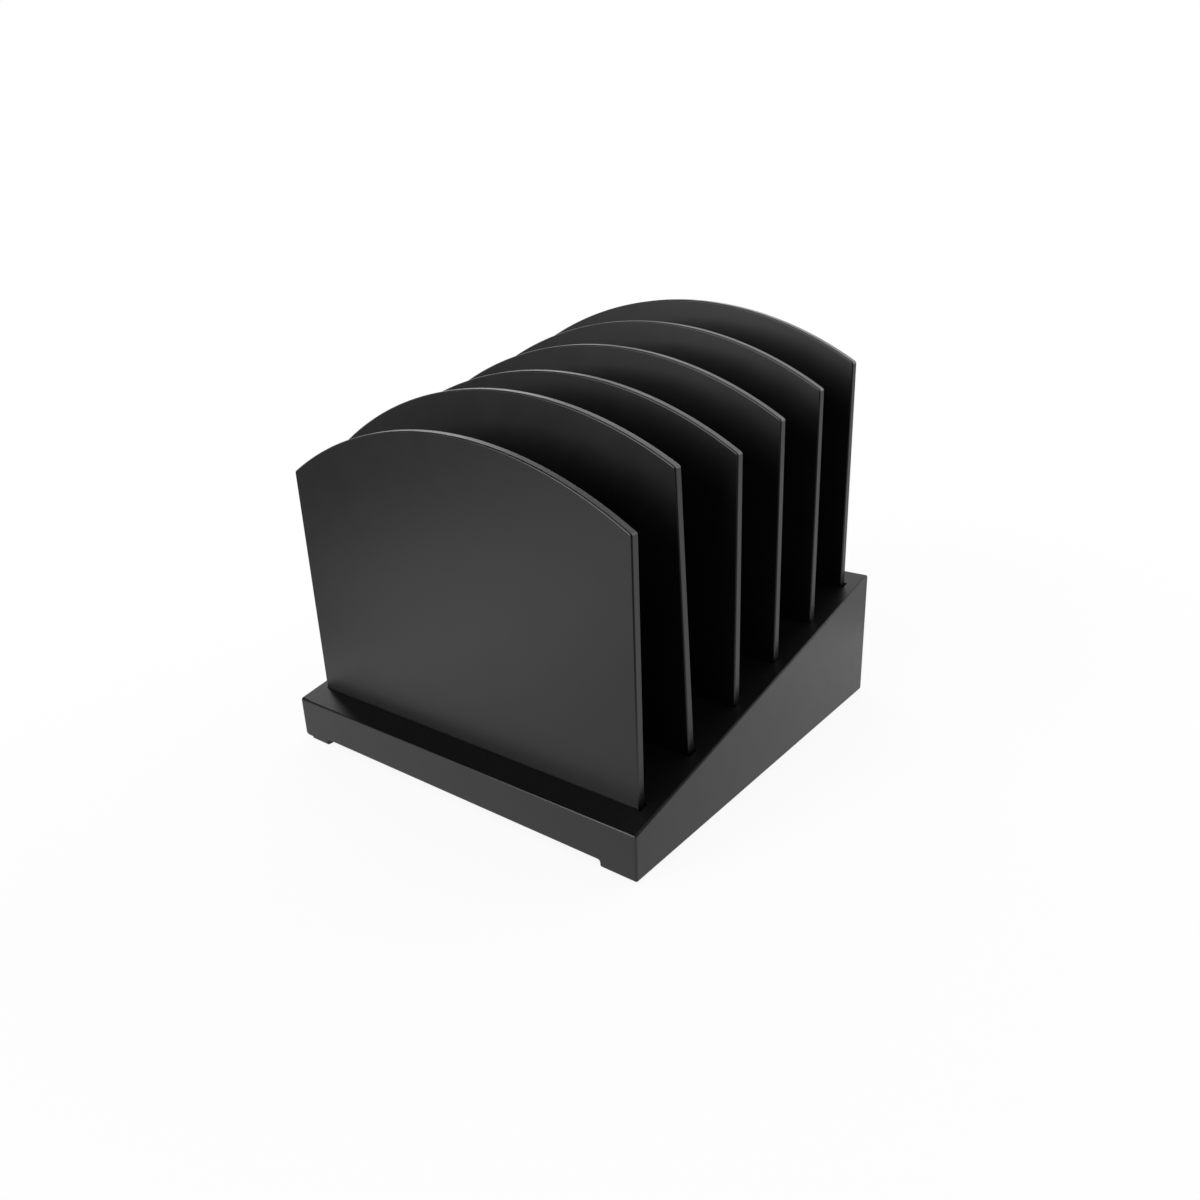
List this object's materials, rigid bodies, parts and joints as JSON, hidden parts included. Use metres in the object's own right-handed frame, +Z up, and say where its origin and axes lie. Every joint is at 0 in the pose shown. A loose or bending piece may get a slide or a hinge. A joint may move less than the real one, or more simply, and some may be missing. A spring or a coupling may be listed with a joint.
{
  "type": "incline file organizer",
  "caption": "Desk file organizer: a wedge-shaped lacquered base whose sloping grooved deck holds loose upright dividers with arched tops, so that files stand between them.",
  "frame": {"origin": "under the middle of the base, on the surface that the pads stand on", "axes": "+X to the right, +Y to the rear, +Z up"},
  "size_m": [0.305, 0.299, 0.2938],
  "materials": {
    "black_lacquer": "satin black lacquer sprayed over smooth board, no grain showing",
    "black_undercoat": "thin dull black spray over sawn wood, inside the base",
    "beech": "plain beech, hidden in the joints",
    "black_felt": "dense black felt"
  },
  "bodies": {
    "base": {"side_panel_left": "black_lacquer", "side_panel_right": "black_lacquer", "front_rail": "black_lacquer", "back_rail": "black_lacquer", "slotted_deck": "black_lacquer", "deck_cleat_left": "black_undercoat", "deck_cleat_right": "black_undercoat", "corner_block_front_left": "black_undercoat", "corner_block_front_right": "black_undercoat", "corner_block_back_left": "black_undercoat", "corner_block_back_right": "black_undercoat", "side_dowel_front_left": "beech", "side_dowel_front_right": "beech", "side_dowel_back_lower_left": "beech", "side_dowel_back_lower_right": "beech", "side_dowel_back_upper_left": "beech", "side_dowel_back_upper_right": "beech", "deck_dowel_front_left": "beech", "deck_dowel_front_right": "beech", "deck_dowel_back_left": "beech", "deck_dowel_back_right": "beech", "felt_pad_front_left": "black_felt", "felt_pad_front_right": "black_felt", "felt_pad_back_left": "black_felt", "felt_pad_back_right": "black_felt"},
    "divider_1": {"divider_1": "black_lacquer"},
    "divider_2": {"divider_2": "black_lacquer"},
    "divider_3": {"divider_3": "black_lacquer"},
    "divider_4": {"divider_4": "black_lacquer"},
    "divider_5": {"divider_5": "black_lacquer"},
    "divider_6": {"divider_6": "black_lacquer"}
  },
  "joints": [
    {"name": "divider_1_lift", "type": "slide", "parent": "base", "child": "divider_1", "axis": [0, 0, 1], "range_m": [0, 0.28]},
    {"name": "divider_2_lift", "type": "slide", "parent": "base", "child": "divider_2", "axis": [0, 0, 1], "range_m": [0, 0.28]},
    {"name": "divider_3_lift", "type": "slide", "parent": "base", "child": "divider_3", "axis": [0, 0, 1], "range_m": [0, 0.28]},
    {"name": "divider_4_lift", "type": "slide", "parent": "base", "child": "divider_4", "axis": [0, 0, 1], "range_m": [0, 0.28]},
    {"name": "divider_5_lift", "type": "slide", "parent": "base", "child": "divider_5", "axis": [0, 0, 1], "range_m": [0, 0.28]},
    {"name": "divider_6_lift", "type": "slide", "parent": "base", "child": "divider_6", "axis": [0, 0, 1], "range_m": [0, 0.28]}
  ]
}
